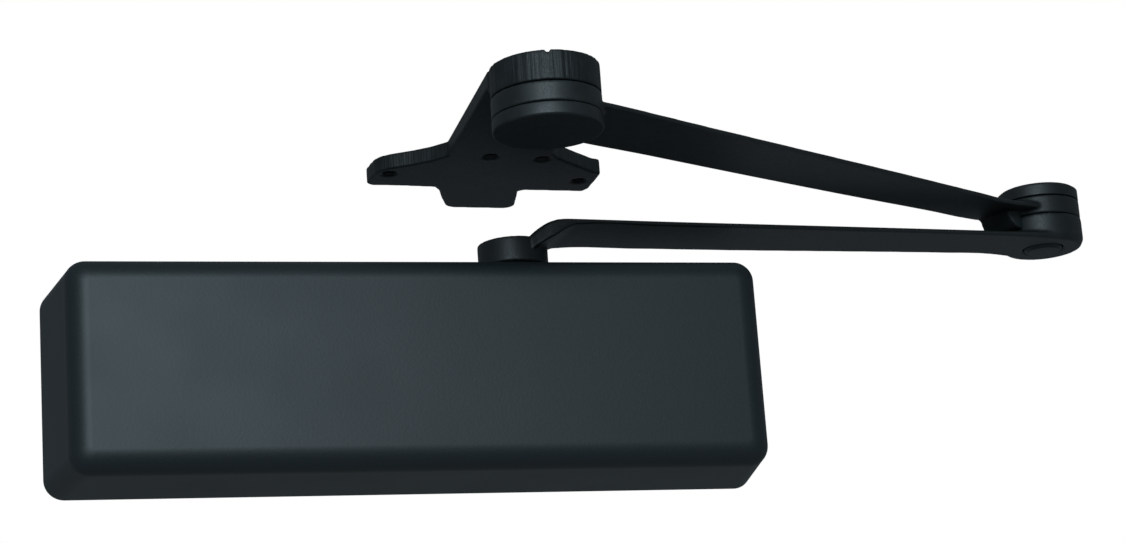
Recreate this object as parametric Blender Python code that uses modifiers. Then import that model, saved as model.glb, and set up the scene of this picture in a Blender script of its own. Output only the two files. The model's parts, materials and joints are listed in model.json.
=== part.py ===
"""Surface door closer: a hydraulic rack-and-pinion closer under a full cover, with a folding
double arm and a soffit shoe.

All sizes are in millimetres and become metres where a mesh is made. The origin is on the flat
back of the closer, the face that is screwed to the door, half way along and half way up its
cover. +X runs along the closer towards the elbow, +Y into the door, +Z up along the pinion.
"""

import math

import bmesh
import bpy
from mathutils import Matrix, Vector

MM = 0.001
GAP = 0.3               # left between pieces that touch
ROUND = 32              # sides of a large round
SMALL_ROUND = 16        # sides of a small round

# Cover
COVER_LENGTH = 311.0
COVER_HEIGHT = 91.0
COVER_DEPTH = 54.0
COVER_WALL = 2.4
COVER_CORNER = 8.7      # radius of the outline's corners
COVER_EDGE = 9.7        # radius between the front and the sides
COVER_DRAFT = 6.4       # each end leans in by this much towards the front
COVER_NOTCH_R = 12.0

# Hydraulic body
PINION = (46.7, -27.0)
BORE_Y = -27.0
BODY_LEFT = -138.0
BODY_RIGHT = 124.0
BORE_R = 19.3
TUBE_R = 23.5
BOSS_R = 20.0
BOSS_HALF = 38.0
SEAT_R = 20.5           # counterbore of the end cap and end plug
SEAT_DEPTH = 18.0
FOOT_THICKNESS = 9.0
FOOT_HALF = 41.0
FOOT_X = (-118.0, 106.0)
FOOT_WIDTH = 26.0
FIXING_Z = 33.0
FIXING_R = 3.6
COVER_SCREW_X = (-108.5, 96.5)
COVER_SCREW_Y = -4.5

# Rack and pinion
TEETH = 12
MODULE = 1.5
PRESSURE = math.radians(20.0)
PITCH_R = TEETH * MODULE / 2.0
PINION_ADDENDUM = 1.5
PINION_DEDENDUM = 1.3
RACK_ADDENDUM = 1.0
BACKLASH = 0.3
GEAR_HALF = 13.0
RACK_HALF = 11.0
RACK_TEETH = range(-2, 7)
JOURNAL_R = 8.5
SQUARE = 11.8

# Piston and power spring
PISTON_LEFT = 26.0
PISTON_RIGHT = 103.0
PISTON_R = 19.0
SPRING_MEAN_R = 15.4
SPRING_WIRE = 5.5
SPRING_TURNS = 8
NUT_LEFT = -104.0
NUT_RIGHT = -97.0

# Arms
ELBOW = (304.2, -9.0)
SHOE_PIVOT = (35.0, -147.4)
MAIN_BOTTOM = 63.1
MAIN_EYE_TOP = 75.4
MAIN_EYE_R = 18.8
HUB_BOTTOM = 47.5
HUB_TOP = 58.8
HUB_R = 15.3
FORE_BAR_BOTTOM = 76.4
FORE_EYE_R = 18.6
FORE_EYE_TOP = 84.2
ELBOW_CAP_TOP = 90.6
DRUM_R = 22.5
PIVOT_BOTTOM = 69.2
PIVOT_TOP = 74.7
FORE_DRUM_TOP = 83.5
BRACKET_DISC_BOTTOM = 83.8
BRACKET_TOP = 96.3
PLATE_THICKNESS = 6.8
PIN_R = 8.0

PARTS = bpy.data.collections.new("door_closer")
CUTTERS = bpy.data.collections.new("cutters")


# ---------------------------------------------------------------- materials

def material(name, colour, roughness, metallic):
    mat = bpy.data.materials.new(name)
    mat.use_nodes = True
    shader = mat.node_tree.nodes["Principled BSDF"]
    shader.inputs["Base Color"].default_value = (*colour, 1.0)
    shader.inputs["Roughness"].default_value = roughness
    shader.inputs["Metallic"].default_value = metallic
    return mat


def make_materials():
    return {
        "cover_paint": material("cover_paint", (0.045, 0.06, 0.064), 0.45, 0.0),
        "arm_paint": material("arm_paint", (0.03, 0.035, 0.037), 0.4, 0.0),
        "cast_iron": material("cast_iron", (0.12, 0.12, 0.125), 0.6, 0.7),
        "hard_steel": material("hard_steel", (0.45, 0.45, 0.46), 0.3, 1.0),
        "zinc_steel": material("zinc_steel", (0.6, 0.6, 0.58), 0.35, 1.0),
        "brass": material("brass", (0.6, 0.45, 0.2), 0.3, 1.0),
        "bronze": material("bronze", (0.45, 0.28, 0.12), 0.4, 1.0),
        "seal_rubber": material("seal_rubber", (0.02, 0.02, 0.02), 0.7, 0.0),
    }


# ---------------------------------------------------------------- building tools

def add_object(name, bm, mat=None):
    """Turn a mesh in millimetres into an object in metres; one with no material is a cutter."""
    bmesh.ops.scale(bm, vec=(MM, MM, MM), verts=bm.verts)
    bmesh.ops.recalc_face_normals(bm, faces=bm.faces)
    mesh = bpy.data.meshes.new(name)
    bm.to_mesh(mesh)
    bm.free()
    obj = bpy.data.objects.new(name, mesh)
    if mat:
        mesh.materials.append(mat)
        mesh.shade_smooth()
        mesh.set_sharp_from_angle(angle=math.radians(35.0))
        PARTS.objects.link(obj)
    else:
        obj.hide_render = True
        obj.display_type = "WIRE"
        CUTTERS.objects.link(obj)
    return obj


def turn_to(axis):
    """Rotation that lays a shape made along Z along another axis."""
    if axis == "X":
        return Matrix.Rotation(math.radians(90.0), 4, "Y")
    if axis == "Y":
        return Matrix.Rotation(math.radians(-90.0), 4, "X")
    return Matrix.Identity(4)


def centre_on(axis, centre, along):
    """A point from its place along an axis and its two other coordinates, in X, Y, Z order."""
    place = list(centre)
    place.insert("XYZ".index(axis), along)
    return Vector(place)


def cylinder(name, radius, low, high, centre, axis="Z", mat=None, sides=ROUND):
    bm = bmesh.new()
    middle = centre_on(axis, centre, (low + high) / 2.0)
    bmesh.ops.create_cone(
        bm, cap_ends=True, segments=sides, depth=high - low, radius1=radius, radius2=radius,
        matrix=Matrix.Translation(middle) @ turn_to(axis),
    )
    return add_object(name, bm, mat)


def box(name, low, high, mat=None):
    bm = bmesh.new()
    low, high = Vector(low), Vector(high)
    size = high - low
    bmesh.ops.create_cube(
        bm, size=1.0, matrix=Matrix.Translation((low + high) / 2.0) @ Matrix.Diagonal((*size, 1.0)),
    )
    return add_object(name, bm, mat)


def prism(name, outline, low, high, mat=None):
    """An outline in X and Y, as a solid from one height to another."""
    bm = bmesh.new()
    face = bm.faces.new([bm.verts.new((x, y, low)) for x, y in outline])
    grown = bmesh.ops.extrude_face_region(bm, geom=[face])
    top = [v for v in grown["geom"] if isinstance(v, bmesh.types.BMVert)]
    bmesh.ops.translate(bm, vec=(0.0, 0.0, high - low), verts=top)
    return add_object(name, bm, mat)


def turned(name, profile, centre, axis, mat=None, sides=ROUND, closed=True):
    """Turn a profile of (radius, place along the axis), whose outer side runs from high to low."""
    bm = bmesh.new()
    verts = [bm.verts.new((r, 0.0, along)) for r, along in profile]
    for one, two in zip(verts, verts[1:]):
        bm.edges.new((one, two))
    if closed:
        bm.edges.new((verts[-1], verts[0]))
    obj = add_object(name, bm, mat)
    screw = obj.modifiers.new("turn", "SCREW")
    screw.axis = "Z"
    screw.angle = math.tau
    screw.steps = screw.render_steps = sides
    screw.use_merge_vertices = True
    screw.merge_threshold = 0.00001
    screw.use_smooth_shade = True
    obj.matrix_world = Matrix.Translation(centre_on(axis, centre, 0.0) * MM) @ turn_to(axis)
    return obj


def ring(name, inner, outer, low, high, centre, axis, mat, sides=ROUND):
    return turned(name, [(outer, high), (outer, low), (inner, low), (inner, high)],
                  centre, axis, mat, sides)


def o_ring(name, mean_radius, wire_radius, along, centre, axis, mat, sides=ROUND):
    steps = 6
    profile = [
        (mean_radius + wire_radius * math.cos(-math.tau * i / steps),
         along + wire_radius * math.sin(-math.tau * i / steps))
        for i in range(steps)
    ]
    return turned(name, profile, centre, axis, mat, sides)


def combine(target, others, operation):
    for other in others:
        boolean = target.modifiers.new(other.name, "BOOLEAN")
        boolean.operation = operation
        boolean.solver = "EXACT"
        boolean.object = other
    return target


def join(target, *others):
    return combine(target, others, "UNION")


def cut(target, *others):
    return combine(target, others, "DIFFERENCE")


def place(obj, pivot, angle=0.0):
    """Put an object made about the origin on its pivot, turned about Z."""
    at_pivot = Matrix.Translation((pivot[0] * MM, pivot[1] * MM, 0.0)) @ Matrix.Rotation(angle, 4, "Z")
    obj.matrix_world = at_pivot @ obj.matrix_world
    return obj


def arc(centre, radius, start, end, steps):
    """Points on an arc, from one angle in degrees to another."""
    return [
        (centre[0] + radius * math.cos(math.radians(start + (end - start) * i / steps)),
         centre[1] + radius * math.sin(math.radians(start + (end - start) * i / steps)))
        for i in range(steps + 1)
    ]


def loft(name, rings, mat, cap_start=True, cap_end=True):
    """Skin rings that have the same number of points."""
    bm = bmesh.new()
    rows = [[bm.verts.new(point) for point in ring_points] for ring_points in rings]
    count = len(rows[0])
    for one, two in zip(rows, rows[1:]):
        for i in range(count):
            j = (i + 1) % count
            bm.faces.new((one[i], one[j], two[j], two[i]))
    if cap_start:
        bm.faces.new(rows[0])
    if cap_end:
        bm.faces.new(rows[-1])
    return add_object(name, bm, mat)


# ---------------------------------------------------------------- cover

def rounded_rectangle(half_x, half_z, radius, y, steps=6):
    points = []
    for sx, sz, start in ((1, 1, 0.0), (-1, 1, 90.0), (-1, -1, 180.0), (1, -1, 270.0)):
        centre = (sx * (half_x - radius), sz * (half_z - radius))
        points += [(x, y, z) for x, z in arc(centre, radius, start, start + 90.0, steps)]
    return points


def cover_rings():
    """Rings from the rim at the door to the front, over the rounded front edge."""
    straight = COVER_DEPTH - COVER_EDGE
    half_x, half_z = COVER_LENGTH / 2.0, COVER_HEIGHT / 2.0
    rings = [rounded_rectangle(half_x, half_z, COVER_CORNER, 0.0)]
    edge_steps = 5
    for i in range(edge_steps + 1):
        turn = math.radians(90.0 * i / edge_steps)
        inset = COVER_EDGE * (1.0 - math.cos(turn))
        corner = COVER_CORNER - (COVER_CORNER - 1.5) * inset / COVER_EDGE
        rings.append(rounded_rectangle(
            half_x - COVER_DRAFT - inset, half_z - inset, corner, -straight - COVER_EDGE * math.sin(turn)))
    return rings


def make_cover(mats):
    cover = loft("cover", cover_rings(), mats["cover_paint"], cap_start=False)
    shell = cover.modifiers.new("wall", "SOLIDIFY")
    shell.thickness = COVER_WALL * MM
    shell.offset = -1.0
    shell.use_even_offset = True
    top = COVER_HEIGHT / 2.0
    notch = box("notch_straight", (PINION[0] - COVER_NOTCH_R, PINION[1], top - 6.0),
                (PINION[0] + COVER_NOTCH_R, 5.0, top + 5.0))
    notch_end = cylinder("notch_end", COVER_NOTCH_R, top - 6.0, top + 5.0, PINION)
    holes = [
        cylinder(f"cover_hole_{i}", 2.0, top - 6.0, top + 5.0, (x, COVER_SCREW_Y - 1.5), sides=SMALL_ROUND)
        for i, x in enumerate(COVER_SCREW_X)
    ]
    return cut(cover, notch, notch_end, *holes)


def make_cover_screws(mats):
    top = COVER_HEIGHT / 2.0
    for side, x in zip(("left", "right"), COVER_SCREW_X):
        turned(
            f"cover_screw_{side}",
            [(0.0, top + 2.2), (2.2, top + 2.2), (3.4, top + 1.4), (3.4, top + GAP),
             (1.4, top + GAP), (1.4, top - 12.0), (0.0, top - 12.0)],
            (x, COVER_SCREW_Y - 1.5), "Z", mats["zinc_steel"], SMALL_ROUND, closed=False,
        )


# ---------------------------------------------------------------- hydraulic body

VALVES = {                                  # name: Y and Z of the valve's axis
    "sweep_valve": (-34.0, 27.5),
    "latch_valve": (-20.0, 27.5),
    "backcheck_valve": (-27.0, -27.5),
}
VALVE_SEAT_X = 104.0
VALVE_FACE_X = 122.0
FILL_X = -60.0


def make_closer_body(mats):
    axis = (BORE_Y, 0.0)
    body = cylinder("closer_body", TUBE_R, BODY_LEFT, BODY_RIGHT, axis, "X", mats["cast_iron"])
    boss = cylinder("boss", BOSS_R, -BOSS_HALF, BOSS_HALF, PINION)
    spine = box("spine", (-128.0, -FOOT_THICKNESS, -14.0), (116.0, 0.0, 14.0))
    feet = [
        box(f"foot_{i}", (x - FOOT_WIDTH / 2.0, -FOOT_THICKNESS, -FOOT_HALF),
            (x + FOOT_WIDTH / 2.0, 0.0, FOOT_HALF))
        for i, x in enumerate(FOOT_X)
    ]
    upper_valve_boss = box("upper_valve_boss", (95.0, -41.0, 10.0), (VALVE_FACE_X, -13.0, 34.5))
    lower_valve_boss = box("lower_valve_boss", (95.0, -34.0, -34.5), (VALVE_FACE_X, -20.0, -10.0))
    fill_boss = cylinder("fill_boss", 7.0, 15.0, 25.0, (FILL_X, BORE_Y), sides=SMALL_ROUND)
    join(body, boss, spine, *feet, upper_valve_boss, lower_valve_boss, fill_boss)

    cutters = [
        cylinder("main_bore", BORE_R, BODY_LEFT - 5.0, BODY_RIGHT + 5.0, axis, "X"),
        cylinder("plug_seat", SEAT_R, BODY_LEFT - 5.0, BODY_LEFT + SEAT_DEPTH, axis, "X"),
        cylinder("cap_seat", SEAT_R, BODY_RIGHT - SEAT_DEPTH, BODY_RIGHT + 5.0, axis, "X"),
        cylinder("pinion_bore", 11.2, -45.0, 45.0, PINION),
        cylinder("fill_hole", 4.3, 15.0, 30.0, (FILL_X, BORE_Y), sides=SMALL_ROUND),
    ]
    for level in (1, -1):
        for label, radius, start in (("bearing_seat", 13.2, 23.5), ("nut_seat", 15.2, 33.0)):
            low, high = sorted((level * start, level * 45.0))
            cutters.append(cylinder(f"{label}_{level}", radius, low, high, PINION))
    for i, x in enumerate(FOOT_X):
        for level in (1, -1):
            cutters.append(cylinder(f"fixing_{i}_{level}", FIXING_R, -FOOT_THICKNESS - 5.0, 5.0,
                                    (x, level * FIXING_Z), "Y", sides=SMALL_ROUND))
    for i, x in enumerate(COVER_SCREW_X):
        cutters.append(cylinder(f"cover_tap_{i}", 1.75, 30.0, 45.0, (x, COVER_SCREW_Y - 1.5),
                                sides=SMALL_ROUND))
    for name, (y, z) in VALVES.items():
        cutters.append(cylinder(f"{name}_hole", 4.3, VALVE_SEAT_X, VALVE_FACE_X + 5.0, (y, z), "X",
                                sides=SMALL_ROUND))
        cutters.append(cylinder(f"{name}_port", 2.2, VALVE_SEAT_X - 6.0, VALVE_SEAT_X + 1.0, (y, z), "X",
                                sides=SMALL_ROUND))
    return cut(body, *cutters)


def make_end_closures(mats):
    axis = (BORE_Y, 0.0)
    seat = BODY_RIGHT - SEAT_DEPTH + GAP
    groove = seat + 4.0
    turned(
        "head_end_cap",
        [(0.0, BODY_RIGHT + 1.5), (5.5, BODY_RIGHT + 1.5), (5.5, BODY_RIGHT + 5.0), (22.0, BODY_RIGHT + 5.0),
         (22.0, BODY_RIGHT + GAP), (20.2, BODY_RIGHT + GAP), (20.2, groove + 2.2), (18.2, groove + 2.2),
         (18.2, groove), (20.2, groove), (20.2, seat), (0.0, seat)],
        axis, "X", mats["zinc_steel"], closed=False,
    )
    o_ring("head_cap_seal", 19.3, 0.8, groove + 1.1, axis, "X", mats["seal_rubber"])

    seat = BODY_LEFT + SEAT_DEPTH - GAP
    groove = seat - 6.0
    outside = BODY_LEFT - 3.5
    turned(
        "spring_end_plug",
        [(20.2, seat), (20.2, groove + 2.2), (18.2, groove + 2.2), (18.2, groove), (20.2, groove),
         (20.2, BODY_LEFT - GAP), (22.0, BODY_LEFT - GAP), (22.0, outside), (5.3, outside),
         (5.3, -131.0), (7.2, -131.0), (7.2, -128.9), (5.3, -128.9), (5.3, seat)],
        axis, "X", mats["zinc_steel"],
    )
    o_ring("spring_plug_seal", 19.3, 0.8, groove + 1.1, axis, "X", mats["seal_rubber"])
    o_ring("adjuster_seal", 6.15, 0.8, -129.95, axis, "X", mats["seal_rubber"], SMALL_ROUND)
    turned(
        "fill_plug",
        [(0.0, 26.4), (2.0, 26.4), (2.0, 28.4), (6.0, 28.4), (6.0, 25.3), (4.0, 25.3), (4.0, 19.6), (0.0, 19.6)],
        (FILL_X, BORE_Y), "Z", mats["zinc_steel"], SMALL_ROUND, closed=False,
    )


def make_pinion_supports(mats):
    """Bearing, seal and gland nut at each end of the pinion."""
    for label, level in (("upper", 1), ("lower", -1)):
        for node, inner, outer, start, end, mat in (
            ("needle_bearing", JOURNAL_R + GAP, 12.9, 23.8, 32.7, "hard_steel"),
            ("pinion_seal", JOURNAL_R + GAP, 11.5, 33.6, 37.6, "seal_rubber"),
        ):
            low, high = sorted((level * start, level * end))
            ring(f"{label}_{node}", inner, outer, low, high, PINION, "Z", mats[mat])
        profile = [(14.9, 41.0), (14.9, 33.3), (11.8, 33.3), (11.8, 37.9), (8.9, 37.9), (8.9, 41.0)]
        if level < 0:
            profile = [(r, -z) for r, z in reversed(profile)]
        turned(f"{label}_gland_nut", profile, PINION, "Z", mats["zinc_steel"])


def make_valves(mats):
    for name, centre in VALVES.items():
        face = VALVE_FACE_X
        groove = VALVE_SEAT_X + 7.0
        turned(
            name,
            [(0.0, face - 2.0), (1.9, face - 2.0), (1.9, face + 1.5), (4.0, face + 1.5), (4.0, groove + 1.6),
             (2.9, groove + 1.6), (2.9, groove), (4.0, groove), (4.0, VALVE_SEAT_X + 2.0),
             (1.7, VALVE_SEAT_X + 1.0), (1.0, VALVE_SEAT_X - 2.0), (0.0, VALVE_SEAT_X - 2.0)],
            centre, "X", mats["brass"], SMALL_ROUND, closed=False,
        )
        o_ring(f"{name}_seal", 3.6, 0.45, groove + 0.8, centre, "X", mats["seal_rubber"], SMALL_ROUND)


# ---------------------------------------------------------------- rack and pinion

def involute(base_r, angle):
    """Point of an involute that starts at angle zero on its base circle."""
    return (base_r * (math.cos(angle) + angle * math.sin(angle)),
            base_r * (math.sin(angle) - angle * math.cos(angle)))


def gear_outline():
    """Tooth outline about the pinion's axis, with one tooth pointing to -Y."""
    base_r = PITCH_R * math.cos(PRESSURE)
    tip_r = PITCH_R + PINION_ADDENDUM
    root_r = PITCH_R - PINION_DEDENDUM
    tip_angle = math.sqrt((tip_r / base_r) ** 2 - 1.0)
    lean = math.tan(PRESSURE) - PRESSURE
    half_tooth = (math.pi * MODULE / 2.0 - BACKLASH) / 2.0 / PITCH_R
    flank = []
    flank_steps = 3
    for i in range(flank_steps + 1):
        x, y = involute(base_r, tip_angle * i / flank_steps)
        flank.append((math.hypot(x, y), half_tooth + lean - math.atan2(y, x)))
    flank.insert(0, (root_r, flank[0][1]))
    outline = []
    for tooth in range(TEETH):
        middle = -math.pi / 2.0 + math.tau * tooth / TEETH
        sides = [(r, middle - a) for r, a in flank] + [(r, middle + a) for r, a in reversed(flank)]
        outline += [(r * math.cos(a), r * math.sin(a)) for r, a in sides]
    return outline


def make_pinion_shaft(mats):
    half = SQUARE / 2.0
    shaft = prism("pinion_shaft", gear_outline(), -GEAR_HALF, GEAR_HALF, mats["hard_steel"])
    own = (0.0, 0.0)
    upper = cylinder("upper_journal", JOURNAL_R, GEAR_HALF - 0.5, 44.5, own)
    lower = cylinder("lower_journal", JOURNAL_R, -38.5, -GEAR_HALF + 0.5, own)
    upper_square = box("upper_square", (-half, -half, 40.0), (half, half, 53.9))
    lower_square = box("lower_square", (-half, -half, -42.3), (half, half, -36.0))
    tapped_hole = cylinder("tapped_hole", 3.3, 38.0, 60.0, own, sides=SMALL_ROUND)
    for piece in (upper, lower, upper_square, lower_square, tapped_hole):
        place(piece, PINION)
    join(shaft, upper, lower, upper_square, lower_square)
    cut(shaft, tapped_hole)
    return place(shaft, PINION)


def make_piston(mats):
    """A hollow-sided piston whose window holds the pinion, with the rack on its front side."""
    axis = (BORE_Y, 0.0)
    pitch_line = PINION[1] - PITCH_R
    root = pitch_line - PINION_ADDENDUM - 0.4
    tip = pitch_line + RACK_ADDENDUM
    back = PINION[1] + PITCH_R + PINION_ADDENDUM + 1.3
    piston = cylinder("piston", PISTON_R, PISTON_LEFT, PISTON_RIGHT, axis, "X", mats["hard_steel"])
    window = box("window", (34.2, root, -25.0), (84.0, back, 25.0))
    port = cylinder("check_port", 2.2, 80.0, 92.0, axis, "X", sides=SMALL_ROUND)
    pocket = cylinder("check_pocket", 4.3, 91.0, PISTON_RIGHT + 2.0, axis, "X", sides=SMALL_ROUND)
    cut(piston, window, port, pocket)
    pitch = math.pi * MODULE
    for tooth in RACK_TEETH:
        middle = PINION[0] + (tooth + 0.5) * pitch
        half_root = pitch / 4.0 + (pitch_line - root + 0.6) * math.tan(PRESSURE)
        half_tip = pitch / 4.0 - RACK_ADDENDUM * math.tan(PRESSURE)
        outline = [(middle - half_root, root - 0.6), (middle + half_root, root - 0.6),
                   (middle + half_tip, tip), (middle - half_tip, tip)]
        join(piston, prism(f"rack_tooth_{tooth}", outline, -RACK_HALF, RACK_HALF))
    return piston


def make_check_valve(mats):
    bm = bmesh.new()
    centre = Matrix.Translation((94.4, BORE_Y, 0.0)) @ turn_to("X")
    bmesh.ops.create_uvsphere(bm, u_segments=16, v_segments=10, radius=3.7, matrix=centre)
    add_object("check_ball", bm, mats["hard_steel"])
    ring("check_ball_retainer", 1.8, 4.0, 98.8, 101.2, (BORE_Y, 0.0), "X", mats["zinc_steel"], SMALL_ROUND)


def spring_path(start, end):
    """Centre line of the coil: a close turn at each end and even turns between them."""
    close = SPRING_WIRE + 0.4
    steps = 12
    total = SPRING_TURNS + 2
    active = (end - start - 2.0 * close) / SPRING_TURNS
    points = []
    for i in range(total * steps + 1):
        turn = i / steps
        along = start + min(turn, 1.0) * close
        along += min(max(turn - 1.0, 0.0), SPRING_TURNS) * active + max(turn - total + 1.0, 0.0) * close
        angle = math.tau * turn
        points.append((along, BORE_Y + SPRING_MEAN_R * math.cos(angle), SPRING_MEAN_R * math.sin(angle)))
    return points


def make_power_spring(mats):
    wire_r = SPRING_WIRE / 2.0
    points = spring_path(NUT_RIGHT + 2.0 * GAP + wire_r, PISTON_LEFT - 2.0 * GAP - wire_r)
    curve = bpy.data.curves.new("power_spring", "CURVE")
    curve.dimensions = "3D"
    curve.bevel_depth = wire_r * MM
    curve.bevel_resolution = 1
    curve.use_fill_caps = True
    line = curve.splines.new("POLY")
    line.points.add(len(points) - 1)
    for target, point in zip(line.points, points):
        target.co = (*(Vector(point) * MM), 1.0)
    curve.materials.append(mats["hard_steel"])
    spring = bpy.data.objects.new("power_spring", curve)
    PARTS.objects.link(spring)
    return spring


def make_power_adjuster(mats):
    axis = (BORE_Y, 0.0)
    head = turned(
        "adjusting_screw",
        [(0.0, -66.0), (4.0, -66.0), (5.0, -67.0), (5.0, -116.7), (8.0, -116.7), (8.0, -119.9), (5.0, -119.9),
         (5.0, -141.8), (7.0, -141.8), (7.0, -146.6), (0.0, -146.6)],
        axis, "X", mats["zinc_steel"], SMALL_ROUND, closed=False,
    )
    socket = cylinder("adjuster_socket", 3.2, -150.0, -143.5, axis, "X", sides=6)
    cut(head, socket)
    turned(
        "spring_seat_nut",
        [(10.0, -88.0), (10.0, NUT_RIGHT), (18.8, NUT_RIGHT), (18.8, NUT_LEFT), (5.3, NUT_LEFT), (5.3, -88.0)],
        axis, "X", mats["zinc_steel"],
    )


# ---------------------------------------------------------------- arms

def bar_section(x, bottom, edge, rise, y_low, y_high, steps=6):
    """Flat underside, thin upright edges and a domed top, across the bar at x."""
    soft = 0.6
    points = [(x, y_low + soft, bottom), (x, y_high - soft, bottom), (x, y_high, bottom + soft)]
    for i in range(steps + 1):
        share = i / steps
        y = y_high + (y_low - y_high) * share
        points.append((x, y, bottom + edge + rise * 4.0 * share * (1.0 - share)))
    points.append((x, y_low, bottom + soft))
    return points


def make_main_arm(mats):
    """Forged arm: a hub on the pinion, a short crank up, a crowned bar and the elbow's eye."""
    own = (0.0, 0.0)
    length = math.dist(PINION, ELBOW)
    angle = math.atan2(ELBOW[1] - PINION[1], ELBOW[0] - PINION[0])
    stations = [                 # x, underside, edge thickness, crown, near side, far side
        (0.0, 50.5, 6.2, 0.3, -11.0, 11.0),
        (3.0, 51.5, 6.4, 0.6, -14.0, 13.5),
        (6.5, 54.0, 6.8, 1.0, -16.8, 15.2),
        (11.0, 56.4, 7.2, 1.6, -19.6, 16.2),
        (15.0, 58.4, 6.3, 2.2, -21.0, 16.8),
        (18.5, 60.6, 4.3, 2.7, -21.4, 16.9),
        (23.0, 62.6, 2.3, 3.0, -21.4, 16.8),
        (28.0, MAIN_BOTTOM, 1.8, 3.0, -21.4, 16.7),
        (60.0, MAIN_BOTTOM, 1.7, 3.0, -21.3, 15.4),
        (110.0, MAIN_BOTTOM, 1.7, 3.0, -21.3, 14.0),
        (160.0, MAIN_BOTTOM, 1.7, 3.0, -21.3, 11.7),
        (210.0, MAIN_BOTTOM, 1.7, 3.0, -21.1, 9.7),
        (length - 24.0, MAIN_BOTTOM, 1.8, 3.2, -20.6, 9.6),
        (length - 12.0, MAIN_BOTTOM, 2.2, 3.6, -19.6, 12.4),
        (length, MAIN_BOTTOM, 3.0, 4.0, -17.8, 16.0),
    ]
    arm = loft("main_arm", [bar_section(*station) for station in stations], mats["arm_paint"])
    hub = cylinder("hub", HUB_R, HUB_BOTTOM, HUB_TOP, own)
    eye = turned(
        "main_eye",
        [(0.0, MAIN_EYE_TOP), (MAIN_EYE_R, MAIN_EYE_TOP), (MAIN_EYE_R, MAIN_BOTTOM + 2.8),
         (MAIN_EYE_R - 1.5, MAIN_BOTTOM), (0.0, MAIN_BOTTOM)],
        (length, 0.0), "Z", closed=False,
    )
    half = SQUARE / 2.0 + GAP
    square = box("hub_square", (-half, -half, 40.0), (half, half, 60.0))
    screw_room = cylinder("screw_room", 10.0, 54.2, 75.0, own)
    pin_hole = cylinder("main_pin_hole", PIN_R + GAP, 60.0, 80.0, (length, 0.0))
    rivet_room = cylinder("rivet_room", 9.3, 60.0, 65.5, (length, 0.0))
    join(arm, hub, eye)
    cut(arm, square, screw_room, pin_hole, rivet_room)
    place(square, PINION)
    for piece in (arm, hub, eye, screw_room, pin_hole, rivet_room):
        place(piece, PINION, angle)
    return arm


def make_arm_fixing(mats):
    ring("arm_washer", 3.5, 9.3, 54.5, 56.3, PINION, "Z", mats["zinc_steel"], SMALL_ROUND)
    screw = turned(
        "arm_screw",
        [(0.0, 61.2), (6.4, 61.2), (7.0, 60.6), (7.0, 56.6), (3.0, 56.6), (3.0, 41.0), (0.0, 41.0)],
        PINION, "Z", mats["zinc_steel"], SMALL_ROUND, closed=False,
    )
    cut(screw, cylinder("arm_screw_socket", 3.0, 58.2, 65.0, PINION, sides=6))


def make_elbow_pin(mats):
    """Flanged pin that closes the elbow's top and is riveted over in the main arm's underside."""
    flange_low = FORE_EYE_TOP + GAP
    flange_r = 18.6
    turned(
        "elbow_pin",
        [(0.0, ELBOW_CAP_TOP), (flange_r - 1.6, ELBOW_CAP_TOP), (flange_r, ELBOW_CAP_TOP - 1.2),
         (flange_r, flange_low), (PIN_R, flange_low), (PIN_R, 65.2), (PIN_R + 0.8, 65.0),
         (PIN_R + 0.8, MAIN_BOTTOM + 0.2), (PIN_R - 0.6, MAIN_BOTTOM - 1.2), (0.0, MAIN_BOTTOM - 1.2)],
        ELBOW, "Z", mats["arm_paint"], closed=False,
    )


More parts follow.
